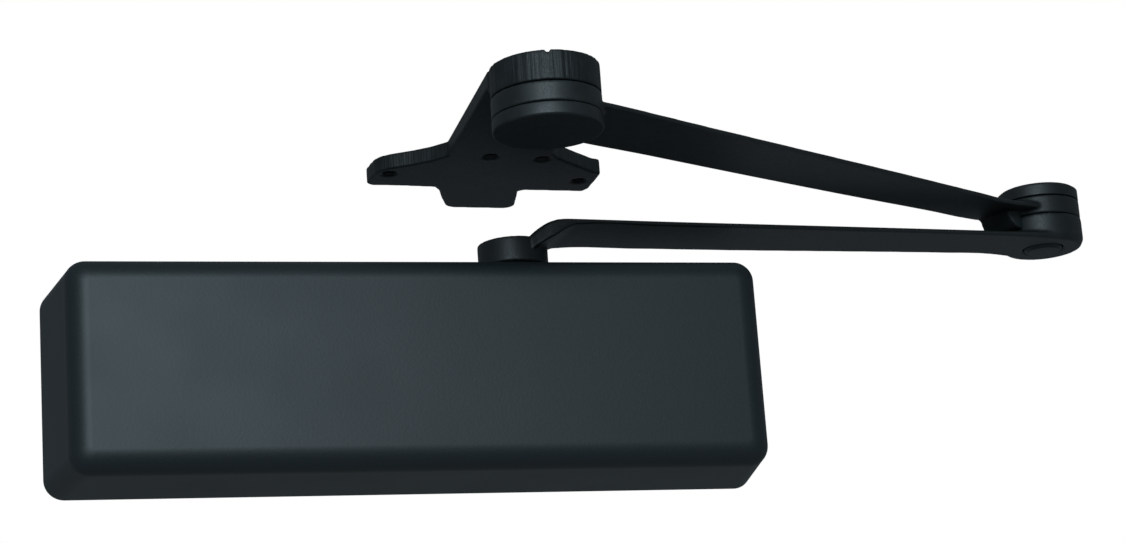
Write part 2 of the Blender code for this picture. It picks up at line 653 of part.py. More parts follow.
def make_forearm(mats):
    """Forged arm: an eye over the elbow, a lug beside it, and the drum's middle ring as its other eye."""
    length = math.dist(ELBOW, SHOE_PIVOT)
    angle = math.atan2(SHOE_PIVOT[1] - ELBOW[1], SHOE_PIVOT[0] - ELBOW[0])
    eye_low = MAIN_EYE_TOP + GAP
    stations = [                 # x, underside, edge thickness, crown, far side, near side
        (0.0, eye_low + 2.4, 2.4, 3.4, -12.0, 11.5),
        (17.0, eye_low + 2.0, 1.9, 3.9, -13.4, 12.6),
        (24.0, eye_low + 1.4, 1.8, 3.2, -13.6, 13.0),
        (34.0, FORE_BAR_BOTTOM, 1.7, 3.1, -13.6, 13.3),
        (60.0, FORE_BAR_BOTTOM, 1.7, 3.0, -14.1, 14.0),
        (110.0, FORE_BAR_BOTTOM, 1.7, 3.0, -16.2, 15.8),
        (170.0, FORE_BAR_BOTTOM, 1.7, 3.0, -17.8, 17.3),
        (230.0, FORE_BAR_BOTTOM, 1.7, 3.0, -18.8, 18.8),
        (length - 15.0, FORE_BAR_BOTTOM, 1.8, 3.2, -19.4, 20.2),
        (length, FORE_BAR_BOTTOM, 2.2, 3.2, -17.5, 19.5),
    ]
    forearm = loft("forearm", [bar_section(*station) for station in stations], mats["arm_paint"])
    elbow_eye = cylinder("fore_elbow_eye", FORE_EYE_R, eye_low, FORE_EYE_TOP, (0.0, 0.0))
    drum_eye = cylinder("fore_drum_eye", DRUM_R - 0.1, PIVOT_TOP + GAP, FORE_DRUM_TOP, (length, 0.0))
    lug_top = FORE_BAR_BOTTOM + 1.6
    lug_sections = [             # x, underside, far side, near side
        (14.0, 69.3, -16.5, 5.0), (21.0, 69.3, -15.0, 5.0), (23.0, 70.0, -14.2, 4.8),
        (25.6, 73.2, -13.2, 4.4), (28.5, FORE_BAR_BOTTOM + 0.9, -12.4, 4.0),
    ]
    lug = loft("elbow_lug", [
        [(x, far, underside), (x, near, underside), (x, near, lug_top), (x, far, lug_top)]
        for x, underside, far, near in lug_sections
    ], None)
    lug_room = cylinder("lug_room", MAIN_EYE_R + 0.7, 60.0, eye_low - 0.1, (0.0, 0.0))
    hole_low, hole_high = 60.0, 95.0
    holes = [
        cylinder("fore_elbow_hole", PIN_R + 2.3, hole_low, hole_high, (0.0, 0.0)),
        cylinder("fore_drum_hole", PIN_R + 2.3, hole_low, hole_high, (length, 0.0)),
    ]
    join(forearm, elbow_eye, drum_eye, lug)
    cut(forearm, lug_room, *holes)
    for piece in (forearm, elbow_eye, drum_eye, lug, lug_room, *holes):
        place(piece, ELBOW, angle)
    ring("elbow_bushing", PIN_R + GAP, PIN_R + 2.0, eye_low + GAP, FORE_EYE_TOP - GAP,
         ELBOW, "Z", mats["bronze"])
    ring("shoe_bushing", PIN_R + GAP, PIN_R + 2.0, PIVOT_TOP + 2.0 * GAP, FORE_DRUM_TOP - GAP,
         SHOE_PIVOT, "Z", mats["bronze"])
    return forearm


# ---------------------------------------------------------------- shoe

STRUT_HALF = 22.7
SHOE_TURN = math.radians(-1.0)
SHOE_HOLES = ((-44.0, 115.0), (42.5, 124.0), (-4.0, 91.0), (19.5, 94.0))


def bracket_outline():
    """Plate with two wings and a tab, on a straight strut that runs under the boss's disc."""
    return [
        (STRUT_HALF, 4.0), (STRUT_HALF, 87.0), (26.5, 93.0), (35.6, 101.8), (46.2, 111.5),
        *arc((46.0, 115.5), 4.2, -50.0, 0.0, 2), (49.6, 135.0), (47.6, 139.0),
        (20.5, 137.4), (18.2, 139.6), (19.3, 147.1), (20.6, 157.5),
        *arc((15.9, 159.2), 5.0, 0.0, 85.0, 3),
        *arc((-5.6, 157.0), 6.0, 98.0, 160.0, 3),
        (-14.8, 148.8), (-17.7, 138.7), (-20.8, 133.4), (-36.9, 131.6),
        *arc((-47.8, 127.2), 4.0, 95.0, 175.0, 3),
        (-51.3, 121.0), (-50.3, 114.5), (-48.3, 110.5), (-44.6, 107.3), (-35.6, 102.2), (-28.8, 97.2),
        (-STRUT_HALF, 90.5), (-STRUT_HALF, 4.0), (-19.0, -6.0), (19.0, -6.0),
    ]


def make_soffit_bracket(mats):
    own = (0.0, 0.0)
    low = BRACKET_TOP - PLATE_THICKNESS
    bracket = prism("soffit_bracket", bracket_outline(), low, BRACKET_TOP, mats["arm_paint"])
    disc = cylinder("boss_disc", DRUM_R, BRACKET_DISC_BOTTOM, BRACKET_TOP, own)
    join(bracket, disc)
    above = BRACKET_TOP + 2.0
    sunk_hole = [(0.0, above), (2.8, above), (2.8, low + 1.2), (4.6, low - 0.6), (0.0, low - 0.6)]
    holes = [
        turned(f"shoe_hole_{i}", sunk_hole, centre, "Z", sides=SMALL_ROUND, closed=False)
        for i, centre in enumerate(SHOE_HOLES)
    ]
    pivot_hole = cylinder("bracket_pin_hole", PIN_R + GAP, 75.0, 92.0, own)
    cut(bracket, *holes, pivot_hole)
    for piece in (bracket, disc, *holes, pivot_hole):
        place(piece, SHOE_PIVOT, SHOE_TURN)
    return bracket


def make_shoe_pin(mats):
    """Flanged pin: its flange is the drum's lowest ring."""
    turned(
        "shoe_pin",
        [(0.0, 91.7), (PIN_R - 0.8, 91.7), (PIN_R, 90.9), (PIN_R, PIVOT_TOP), (DRUM_R, PIVOT_TOP),
         (DRUM_R, PIVOT_BOTTOM + 0.6), (DRUM_R - 0.6, PIVOT_BOTTOM), (0.0, PIVOT_BOTTOM)],
        SHOE_PIVOT, "Z", mats["arm_paint"], closed=False,
    )


def main():
    for obj in list(bpy.data.objects):
        bpy.data.objects.remove(obj, do_unlink=True)
    for collection in (PARTS, CUTTERS):
        bpy.context.scene.collection.children.link(collection)
    mats = make_materials()
    for make in (
        make_cover, make_cover_screws, make_closer_body, make_end_closures, make_pinion_supports,
        make_valves, make_pinion_shaft, make_piston, make_check_valve, make_power_spring,
        make_power_adjuster, make_main_arm, make_arm_fixing, make_elbow_pin, make_forearm,
        make_soffit_bracket, make_shoe_pin,
    ):
        make(mats)


main()
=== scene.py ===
# %% [markdown]
# # Surface door closer
# A door closer is a hydraulic spring box that is screwed to a door, with two forged arms that fold
# as the door opens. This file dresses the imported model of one: it keeps the frame as it is, builds
# finer versions of the pieces that the eye lands on, and gives every piece a material.
# The first step loads the frame. Everything is in metres, in the frame's own axes.

# %% Load the frame
import json
import math

import bmesh
import bpy
import numpy as np
from mathutils import Matrix, Vector


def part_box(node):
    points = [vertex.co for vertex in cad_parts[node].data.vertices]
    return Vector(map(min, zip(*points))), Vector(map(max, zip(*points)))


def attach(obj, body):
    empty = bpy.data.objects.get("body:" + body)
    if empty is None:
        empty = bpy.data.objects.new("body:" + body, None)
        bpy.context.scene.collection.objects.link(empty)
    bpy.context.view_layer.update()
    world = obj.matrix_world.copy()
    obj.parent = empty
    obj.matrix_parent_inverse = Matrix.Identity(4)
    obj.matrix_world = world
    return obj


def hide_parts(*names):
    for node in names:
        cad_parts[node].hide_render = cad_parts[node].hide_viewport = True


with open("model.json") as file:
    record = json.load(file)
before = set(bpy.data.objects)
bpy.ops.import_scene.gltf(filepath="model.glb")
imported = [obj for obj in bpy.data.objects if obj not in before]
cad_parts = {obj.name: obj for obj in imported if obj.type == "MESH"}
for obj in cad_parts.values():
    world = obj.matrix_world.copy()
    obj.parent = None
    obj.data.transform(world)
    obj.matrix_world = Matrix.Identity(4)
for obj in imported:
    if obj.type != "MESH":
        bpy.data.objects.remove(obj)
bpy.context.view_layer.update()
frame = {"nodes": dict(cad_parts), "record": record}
MM = 0.001
print("pieces in the frame:", len(frame["nodes"]))

# %% [markdown]
# ## The camera
# The closer is seen from below and from the left, as a fitter on the floor sees it, through a long
# lens. A long lens could be copied with a camera far away and a narrow angle; here the distance and
# the focal length are both given, so that the near end is larger by the right amount.

# %% Camera
CAMERA_PLACE = (-0.2520, -1.2344, -0.3108)
TURN_RIGHT, LOOK_UP, ROLL = math.radians(14.87), math.radians(15.98), math.radians(4.11)
SENSOR_WIDTH = 36.0      # mm
FOCAL_LENGTH = 95.1      # mm

ahead = Vector((
    math.sin(TURN_RIGHT) * math.cos(LOOK_UP),
    math.cos(TURN_RIGHT) * math.cos(LOOK_UP),
    math.sin(LOOK_UP),
))
level = Vector((math.cos(TURN_RIGHT), -math.sin(TURN_RIGHT), 0.0))
below = ahead.cross(level)
right = math.cos(ROLL) * level + math.sin(ROLL) * below
down = -math.sin(ROLL) * level + math.cos(ROLL) * below

camera = bpy.data.objects.new("camera", bpy.data.cameras.new("camera"))
bpy.context.scene.collection.objects.link(camera)
facing = Matrix((right, -down, -ahead)).transposed().to_4x4()
camera.matrix_world = Matrix.Translation(CAMERA_PLACE) @ facing
camera.data.sensor_width = SENSOR_WIDTH
camera.data.lens = FOCAL_LENGTH
camera.data.clip_start = 0.01
bpy.context.scene.camera = camera
print("camera looks along", [round(v, 3) for v in ahead])

# %% [markdown]
# ## Colours and nodes
# Paint charts give colours as sRGB hex values, but a shader works in linear light, so one function
# turns hex to linear. A second small function adds a shader node with its settings and its links;
# writing each node by hand with four lines would hide the recipe of each finish.

# %% Colour and node helpers
def colour(hex_value):
    """An sRGB hex colour as linear red, green, blue and alpha."""
    channels = [int(hex_value[i:i + 2], 16) / 255.0 for i in (1, 3, 5)]
    linear = [c / 12.92 if c <= 0.04045 else ((c + 0.055) / 1.055) ** 2.4 for c in channels]
    return (*linear, 1.0)


def add_node(tree, kind, sockets=None, **settings):
    """Add a node; each socket takes a value, or another node's output to be linked to it."""
    node = tree.nodes.new(kind)
    for name, value in settings.items():
        setattr(node, name, value)
    for name, value in (sockets or {}).items():
        if isinstance(value, bpy.types.NodeSocket):
            tree.links.new(value, node.inputs[name])
        else:
            node.inputs[name].default_value = value
    return node


print("black in linear light:", colour("#202020")[0])

# %% [markdown]
# ## Studio
# The object hangs in front of a white sheet. A wide, low soft box above the camera lights the cover's
# front, and a narrow one beside it draws a bright line on each round. The world could be one even
# white, but satin black paint then turns grey, because it mirrors all of that white. So what the eye
# sees behind the object is white, and what lights the object is a dim grey room. A board below the
# object, out of sight, keeps most of that light from coming up under it.

# %% World, board and lights
ROOM_GREY = "#697278"
world = bpy.data.worlds.new("studio")
world.use_nodes = True
bpy.context.scene.world = world
world.node_tree.nodes.clear()
room = add_node(world.node_tree, "ShaderNodeBackground", {"Color": colour(ROOM_GREY), "Strength": 1.0})
sheet = add_node(world.node_tree, "ShaderNodeBackground", {"Color": colour("#ffffff"), "Strength": 1.0})
seen = add_node(world.node_tree, "ShaderNodeLightPath").outputs["Is Camera Ray"]
both = add_node(world.node_tree, "ShaderNodeMixShader",
                {0: seen, 1: room.outputs[0], 2: sheet.outputs[0]})
add_node(world.node_tree, "ShaderNodeOutputWorld", {"Surface": both.outputs[0]})
bpy.context.scene.view_settings.view_transform = "Standard"

BOARD_LEVEL = -0.75
BOARD_HALF = 3.0
BOARD_CELLS = 12
bm = bmesh.new()
bmesh.ops.create_grid(bm, x_segments=BOARD_CELLS, y_segments=BOARD_CELLS, size=BOARD_HALF)
mesh = bpy.data.meshes.new("shade_board")
bm.to_mesh(mesh)
bm.free()
shade_board = bpy.data.objects.new("shade_board", mesh)
shade_board.location.z = BOARD_LEVEL
shade_board.visible_camera = shade_board.visible_glossy = shade_board.visible_diffuse = False
bpy.context.scene.collection.objects.link(shade_board)


def soft_box(name, place, target, width, height, power, tint):
    """A rectangle of light that stands at a place and faces a target."""
    light = bpy.data.lights.new(name, "AREA")
    light.color = colour(tint)[:3]
    light.shape = "RECTANGLE"
    light.size, light.size_y = width, height
    light.energy = power
    lamp = bpy.data.objects.new(name, light)
    lamp.location = place
    lamp.rotation_euler = (Vector(target) - Vector(place)).to_track_quat("-Z", "Y").to_euler()
    bpy.context.scene.collection.objects.link(lamp)
    return lamp


COOL_WHITE = "#e0f6ff"
KEY_POWER, EDGE_POWER = 7.2, 1.5             # watts
soft_box("key_softbox", (-0.20, -1.20, 0.30), (0.0, -0.05, 0.02), 0.52, 0.26, KEY_POWER, COOL_WHITE)
soft_box("edge_softbox", (-0.48, -1.02, 0.12), (0.10, -0.05, 0.06), 0.12, 0.30, EDGE_POWER, COOL_WHITE)
print("board at", BOARD_LEVEL, "m; a wide soft box above the camera and a narrow one beside it")

# %% [markdown]
# ## Powder-coated cover paint
# The cover is polyester powder, blown on dry and baked. It melts into a satin skin with orange peel:
# shallow dimples about a millimetre across, over a much finer grain. An image could carry this, but
# noise gives it at any distance. The base is almost black with a trace of blue-green, and most of
# what is seen is the wide, soft reflection of the light.

# %% Cover paint
PEEL_MM = 1.3            # spacing of the orange peel's dimples
GRAIN_MM = 0.45          # the powder's own grain, 0.05 mm on the real one, drawn coarse enough to show
CLOUD_MM = 45.0          # slow drift of the coat's thickness


def new_material(name):
    """An empty material with its shader, and the place on the piece as the pattern's coordinates."""
    material = bpy.data.materials.new(name)
    material.use_nodes = True
    tree = material.node_tree
    shader = tree.nodes["Principled BSDF"]
    place = add_node(tree, "ShaderNodeTexCoord").outputs["Object"]
    return material, tree, shader, place


def noise(tree, place, size_mm, detail=2.0):
    """Noise whose features are about size_mm across."""
    return add_node(tree, "ShaderNodeTexNoise", {"Vector": place, "Scale": 1.0 / (size_mm * MM),
                                                 "Detail": detail}).outputs[0]


def blend_colours(tree, share, one, two):
    """Mix two hex colours by a pattern."""
    return add_node(tree, "ShaderNodeMix", {"Factor": share, "A": colour(one), "B": colour(two)},
                    data_type="RGBA").outputs["Result"]


def spread(tree, value, low, high):
    """Stretch the middle of a noise to run from low to high."""
    return add_node(tree, "ShaderNodeMapRange", {"Value": value, "From Min": 0.3, "From Max": 0.7,
                                                 "To Min": low, "To Max": high}).outputs[0]


def rough_relief(tree, shader, *layers):
    """Stack bumps: each layer is a height pattern, its real height in mm and its strength."""
    normal = None
    for height, depth_mm, strength in layers:
        sockets = {"Height": height, "Distance": depth_mm * MM, "Strength": strength}
        if normal:
            sockets["Normal"] = normal
        normal = add_node(tree, "ShaderNodeBump", sockets).outputs[0]
    tree.links.new(normal, shader.inputs["Normal"])


powder_coat, tree, shader, place = new_material("polyester_powder_coat")
peel = noise(tree, place, PEEL_MM)
grain = noise(tree, place, GRAIN_MM, 1.0)
cloud = noise(tree, place, CLOUD_MM)
tree.links.new(blend_colours(tree, spread(tree, grain, 0.0, 1.0), "#12191b", "#1b2427"),
               shader.inputs["Base Color"])
tree.links.new(spread(tree, cloud, 0.50, 0.54), shader.inputs["Roughness"])
shader.inputs["IOR"].default_value = 1.5
rough_relief(tree, shader, (peel, 0.07, 0.45), (grain, 0.035, 0.5))
print("cover paint: dimples", PEEL_MM, "mm, grain", GRAIN_MM, "mm")

# %% [markdown]
# ## Painted forging
# The arms and the shoe are drop-forged steel, shot-blasted and sprayed black. The paint follows the
# blasted skin, so it is pocked at about half a millimetre and a little glossier than powder. The
# flash line of a forging is ground off along the edges, which leaves them a little smoother.

# %% Arm paint
PIT_MM = 0.6             # pits that the shot leaves
SCALE_MM = 5.0           # broad unevenness of the hot steel


def forging(name, dark, light, low, high):
    """Black sprayed paint on blasted steel, between two tones and two roughnesses."""
    material, tree, shader, place = new_material(name)
    pits = noise(tree, place, PIT_MM)
    uneven = noise(tree, place, SCALE_MM, 3.0)
    tones = blend_colours(tree, spread(tree, uneven, 0.0, 1.0), dark, light)
    tree.links.new(tones, shader.inputs["Base Color"])
    tree.links.new(spread(tree, pits, low, high), shader.inputs["Roughness"])
    shader.inputs["IOR"].default_value = 1.5
    rough_relief(tree, shader, (uneven, 0.25, 0.3), (pits, 0.05, 0.4))
    return material, tree, shader, place


forged_paint, *_ = forging("sprayed_forging", "#0d1112", "#151b1c", 0.46, 0.58)
print("arm paint: pits", PIT_MM, "mm")

# %% [markdown]
# The side of the shoe's boss is left as the press sheared it: upright scratches of different widths.
# They could be cut as grooves alone, but the finest are thinner than the mesh, so the mesh has the
# broad ones and a bump that changes only around the boss adds the fine ones.

# %% Sheared side
SCRATCH_MM = 1.1         # spacing of the fine upright scratches

sheared_paint, tree, shader, place = forging("sprayed_sheared_edge", "#0b0f10", "#151b1c", 0.46, 0.62)
shader.inputs["Specular IOR Level"].default_value = 0.38
UPRIGHT_STRETCH = (1.0, 1.0, 0.06)           # a small Z share draws the noise out into upright lines
flat_place = add_node(tree, "ShaderNodeVectorMath", {0: place, 1: UPRIGHT_STRETCH},
                      operation="MULTIPLY").outputs[0]
scratches = noise(tree, flat_place, SCRATCH_MM, 3.0)
normal = add_node(tree, "ShaderNodeNewGeometry").outputs["Normal"]
normal_z = add_node(tree, "ShaderNodeSeparateXYZ", {0: normal}).outputs["Z"]
level_share = add_node(tree, "ShaderNodeMath", {0: normal_z}, operation="ABSOLUTE").outputs[0]
side_share = add_node(tree, "ShaderNodeMath", {0: 1.0, 1: level_share}, operation="SUBTRACT").outputs[0]
on_sides = add_node(tree, "ShaderNodeMath", {0: scratches, 1: side_share}, operation="MULTIPLY").outputs[0]
rough_relief(tree, shader, (on_sides, 0.5, 0.7), (noise(tree, place, PIT_MM), 0.05, 0.4))
print("sheared side: scratches", SCRATCH_MM, "mm apart")

# %% [markdown]
# ## Bare metals and rubber
# Inside are grey cast iron with a sand-mould skin, ground and hardened steel, bright zinc plate,
# turned brass, sintered bronze and nitrile rubber. Metals differ mostly in tint and in how fine the
# tool marks are, so one recipe serves them all, with a real spacing of the marks for each.

# %% Metals and rubber
STAIN_MM = 8.0           # slow change of a metal's tint
BLOOM_MM = 1.2           # patches of the rubber's bloom


def bare_metal(name, dark, light, marks_mm, roughness, depth_mm):
    """Metal with tool marks: two tints, the marks' spacing and depth, and a range of roughness."""
    material, tree, shader, place = new_material(name)
    marks = noise(tree, place, marks_mm, 3.0)
    stain = noise(tree, place, STAIN_MM)
    tints = blend_colours(tree, spread(tree, stain, 0.0, 1.0), dark, light)
    tree.links.new(tints, shader.inputs["Base Color"])
    tree.links.new(spread(tree, marks, *roughness), shader.inputs["Roughness"])
    shader.inputs["Metallic"].default_value = 1.0
    rough_relief(tree, shader, (marks, depth_mm, 0.5))
    return material


cast_iron = bare_metal("sand_cast_grey_iron", "#3a3a3b", "#4d4c4b", 0.9, (0.5, 0.75), 0.15)
ground_steel = bare_metal("ground_hard_steel", "#a9aaab", "#b9b9b8", 0.5, (0.22, 0.36), 0.02)
zinc_plate = bare_metal("bright_zinc_plate", "#b4b8bb", "#c6c9c8", 1.5, (0.24, 0.4), 0.03)
brass = bare_metal("turned_brass", "#b5924c", "#c7a45c", 0.5, (0.2, 0.34), 0.02)
bronze = bare_metal("sintered_bronze", "#8a6238", "#a67a48", 0.4, (0.4, 0.6), 0.05)

nitrile_rubber, tree, shader, place = new_material("moulded_nitrile_rubber")
bloom = noise(tree, place, BLOOM_MM, 3.0)
tree.links.new(blend_colours(tree, bloom, "#0f0f0f", "#1c1c1b"), shader.inputs["Base Color"])
tree.links.new(spread(tree, bloom, 0.6, 0.8), shader.inputs["Roughness"])
shader.inputs["IOR"].default_value = 1.52
rough_relief(tree, shader, (bloom, 0.03, 0.4))

FINISH = {
    "cover_paint": powder_coat, "arm_paint": forged_paint, "cast_iron": cast_iron,
    "hard_steel": ground_steel, "zinc_steel": zinc_plate, "brass": brass, "bronze": bronze,
    "seal_rubber": nitrile_rubber,
}
for node in frame["nodes"].values():
    for slot in node.material_slots:
        slot.material = FINISH[slot.material.name.split(".")[0]]
print("finishes:", ", ".join(FINISH))

# %% [markdown]
# ## Where things are
# Every centre and height comes from the frame's own pieces, so that each finer piece sits exactly
# where the mechanism holds it. Reading them from a picture would put them slightly out of line.

# %% Places from the frame
def centre_of(node):
    """The middle of a node's box, in millimetres."""
    low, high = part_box(node)
    return (low + high) / 2.0 / MM


def heights_of(node):
    """The lowest and highest Z of a node, in millimetres."""
    low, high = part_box(node)
    return low.z / MM, high.z / MM


pinion = centre_of("pinion_shaft")
elbow = centre_of("elbow_bushing")
shoe = centre_of("shoe_bushing")
main_length = math.dist(pinion[:2], elbow[:2])
main_turn = math.atan2(elbow.y - pinion.y, elbow.x - pinion.x)
fore_length = math.dist(elbow[:2], shoe[:2])
fore_turn = math.atan2(shoe.y - elbow.y, shoe.x - elbow.x)
print("main arm", round(main_length, 1), "mm; forearm", round(fore_length, 1), "mm")

# %% [markdown]
# ## Mesh tools
# Three ways of making cover everything here: skin a row of sections (a loft), spin a profile (turned
# work), and join solids and melt them together into one skin, as a forging die does. A bevel on
# joined solids often fails where curved faces meet at a shallow angle; the melted skin doesn't.

# %% Mesh tools
SKIN_MM = 0.65           # mesh spacing of a melted skin


def arc(centre, radius, start, end, steps):
    """Points on an arc, from one angle in degrees to another."""
    return [(centre[0] + radius * math.cos(math.radians(start + (end - start) * i / steps)),
             centre[1] + radius * math.sin(math.radians(start + (end - start) * i / steps)))
            for i in range(steps + 1)]


def mesh_object(name, bm):
    """A mesh in millimetres becomes an object in metres."""
    bmesh.ops.scale(bm, vec=(MM, MM, MM), verts=bm.verts)
    bmesh.ops.recalc_face_normals(bm, faces=bm.faces)
    mesh = bpy.data.meshes.new(name)
    bm.to_mesh(mesh)
    bm.free()
    piece = bpy.data.objects.new(name, mesh)
    bpy.context.scene.collection.objects.link(piece)
    return piece


def loft(name, sections, cap_start=True, cap_end=True):
    """Skin sections that have the same number of points."""
    bm = bmesh.new()
    rows = [[bm.verts.new(point) for point in section] for section in sections]
    for one, two in zip(rows, rows[1:]):
        for i in range(len(one)):
            j = (i + 1) % len(one)
            bm.faces.new((one[i], one[j], two[j], two[i]))
    if cap_start:
        bm.faces.new(rows[0])
    if cap_end:
        bm.faces.new(rows[-1])
    return mesh_object(name, bm)


def turned(name, profile, centre, sides=96):
    """Spin a profile of (radius, height) about a vertical axis: a solid from axis to axis, or a ring."""
    bm = bmesh.new()
    closed = profile[0][0] > 0.0
    rows = []
    for radius, height in profile:
        if radius == 0.0:
            rows.append([bm.verts.new((centre[0], centre[1], height))])
        else:
            rows.append([bm.verts.new((centre[0] + radius * math.cos(math.tau * i / sides),
                                       centre[1] + radius * math.sin(math.tau * i / sides), height))
                         for i in range(sides)])
    pairs = list(zip(rows, rows[1:])) + ([(rows[-1], rows[0])] if closed else [])
    for one, two in pairs:
        for i in range(sides):
            j = (i + 1) % sides
            corners = [one[i % len(one)], one[j % len(one)], two[j % len(two)], two[i % len(two)]]
            bm.faces.new(list(dict.fromkeys(corners)))
    return mesh_object(name, bm)


def prism(name, outline, low, high):
    """An outline in X and Y, as a solid from one height to another."""
    return loft(name, [[(x, y, low) for x, y in outline], [(x, y, high) for x, y in outline]])


def disc(name, radius, low, high, centre=(0.0, 0.0)):
    """A round solid from one height to another."""
    return turned(name, [(0.0, high), (radius, high), (radius, low), (0.0, low)], centre)


def block(name, low, high):
    """A box between two corners."""
    corners = [(low[0], low[1]), (high[0], low[1]), (high[0], high[1]), (low[0], high[1])]
    return prism(name, corners, low[2], high[2])


def apply_modifiers(piece):
    """Turn the piece's modifiers into its mesh."""
    graph = bpy.context.evaluated_depsgraph_get()
    mesh = bpy.data.meshes.new_from_object(piece.evaluated_get(graph))
    piece.modifiers.clear()
    piece.data = mesh
    return piece


def combine(piece, others, operation):
    """Join to a piece, or cut from it, and remove what was used."""
    for other in others:
        step = piece.modifiers.new(other.name, "BOOLEAN")
        step.operation = operation
        step.solver = "EXACT"
        step.object = other
    apply_modifiers(piece)
    for other in others:
        bpy.data.objects.remove(other)
    return piece


def melt(piece, spacing_mm=SKIN_MM, rounds=4):
    """Remake the skin as one even mesh and relax it, which rounds corners as a die does."""
    step = piece.modifiers.new("skin", "REMESH")
    step.mode = "VOXEL"
    step.voxel_size = spacing_mm * MM
    relax = piece.modifiers.new("relax", "SMOOTH")
    relax.factor = 0.5
    relax.iterations = rounds
    apply_modifiers(piece)
    piece.data.shade_smooth()
    return piece


def finish_piece(piece, material, slot, body, *replaced, turn=0.0, pivot=None):
    """Put a piece in place, give it its finish and tie it to the body that carries it."""
    if pivot is not None:
        place = Matrix.Translation((pivot[0] * MM, pivot[1] * MM, 0.0))
        piece.data.transform(place @ Matrix.Rotation(turn, 4, "Z"))
    piece.data.materials.clear()
    piece.data.materials.append(material)
    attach(piece, body)
    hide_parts(*replaced)
    print(piece.name, "has", len(piece.data.polygons), "faces")
    return piece


print("melted skins have a mesh every", SKIN_MM, "mm")

# %% [markdown]
# ## Cover
# The cover is a thin moulded shell, open at the back, that snaps over the casting. Its front edge
# has a wide round, its ends lean in so that it leaves the mould, and a notch in the top clears the
# pinion. A box with a bevel has the same round everywhere; a loft lets the corner tighten towards
# the front while the edge rounds over.

# %% Cover
COVER_CORNER = 8.7       # round of the four long corners
COVER_EDGE = 9.7         # round of the front edge
COVER_DRAFT = 6.4        # how far each end leans in
COVER_WALL = 2.4
FRONT_CORNER = 1.5       # what is left of the corner where the edge ends
EDGE_STEPS = 14
CORNER_STEPS = 12
NOTCH_R = 12.0
COVER_HOLE_R = 2.0
CUT_BELOW, CUT_ABOVE = 6.0, 5.0              # reach of a cut through the top
cover_low, cover_high = (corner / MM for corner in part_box("cover"))
cover_half_x = (cover_high.x - cover_low.x) / 2.0
cover_half_z = (cover_high.z - cover_low.z) / 2.0
cover_depth = cover_high.y - cover_low.y


def rounded_rectangle(half_x, half_z, radius, y):
    """The cover's outline at one depth."""
    points = []
    for sx, sz, start in ((1, 1, 0.0), (-1, 1, 90.0), (-1, -1, 180.0), (1, -1, 270.0)):
        centre = (sx * (half_x - radius), sz * (half_z - radius))
        points += [(x, y, z) for x, z in arc(centre, radius, start, start + 90.0, CORNER_STEPS)]
    return points


straight = cover_depth - COVER_EDGE
sections = [
    rounded_rectangle(cover_half_x - COVER_DRAFT * share, cover_half_z, COVER_CORNER, -straight * share)
    for share in (0.0, 0.02, 0.5, 0.98)
]
for i in range(EDGE_STEPS + 1):
    lean = math.radians(90.0 * i / EDGE_STEPS)
    inset = COVER_EDGE * (1.0 - math.cos(lean))
    corner = COVER_CORNER - (COVER_CORNER - FRONT_CORNER) * inset / COVER_EDGE
    sections.append(rounded_rectangle(cover_half_x - COVER_DRAFT - inset, cover_half_z - inset, corner,
                                      -straight - COVER_EDGE * math.sin(lean)))
cover = loft("cover_shell", sections, cap_start=False)
wall = cover.modifiers.new("wall", "SOLIDIFY")
wall.thickness = COVER_WALL * MM
wall.offset = -1.0
wall.use_even_offset = True
apply_modifiers(cover)

top = cover_half_z
behind = 5.0
notch_outline = [
    (pinion.x + NOTCH_R, behind), *arc(pinion, NOTCH_R, 0.0, -180.0, 24), (pinion.x - NOTCH_R, behind),
]
notch = prism("notch", notch_outline, top - CUT_BELOW, top + CUT_ABOVE)
screw_places = {side: centre_of(f"cover_screw_{side}") for side in ("left", "right")}
screw_holes = [disc(f"{side}_hole", COVER_HOLE_R, top - CUT_BELOW, top + CUT_ABOVE, place)
               for side, place in screw_places.items()]
combine(cover, [notch, *screw_holes], "DIFFERENCE")
cover.data.shade_smooth()
cover.data.set_sharp_from_angle(angle=math.radians(40.0))
flat = cover.modifiers.new("flat_faces", "WEIGHTED_NORMAL")
flat.keep_sharp = True
finish_piece(cover, powder_coat, "cover_paint", "closer", "cover")

# %% [markdown]
# ## Main arm
# The main arm is one forging: a hub that fits the pinion's square, a short crank that lifts the bar
# over the cover, a bar with a flat underside and a crowned top, and an eye for the elbow. Sections
# along the bar are skinned, the hub and the eye are joined on, and the whole is melted together so
# that the corners are rounded like a die's.

# %% Main arm
def smooth_rows(rows, step_mm):
    """Fill in between rows along their first column: even steps on soft curves through every row."""
    rows = np.array(rows, float)
    x = rows[:, 0]
    slopes = np.gradient(rows, x, axis=0)
    filled = []
    for at in np.unique(np.concatenate([np.arange(x[0], x[-1], step_mm), x])):
        i = min(int(np.searchsorted(x, at, side="right")) - 1, len(x) - 2)
        gap = x[i + 1] - x[i]
        t = (at - x[i]) / gap
        from_here, slope_here = (1.0 + 2.0 * t) * (1.0 - t) ** 2, t * (1.0 - t) ** 2
        from_next, slope_next = t * t * (3.0 - 2.0 * t), t * t * (t - 1.0)
        filled.append(from_here * rows[i] + slope_here * gap * slopes[i]
                      + from_next * rows[i + 1] + slope_next * gap * slopes[i + 1])
    return filled


def bar_section(x, bottom, edge, rise, y_low, y_high, steps=18):
    """Flat underside, thin upright edges and a domed top, across the bar at x."""
    soft = 0.5
    points = [(x, y_low + soft, bottom), (x, y_high - soft, bottom), (x, y_high, bottom + soft)]
    for i in range(steps + 1):
        share = i / steps
        crown = rise * 4.0 * share * (1.0 - share)
        points.append((x, y_high + (y_low - y_high) * share, bottom + edge + crown))
    points.append((x, y_low, bottom + soft))
    return points


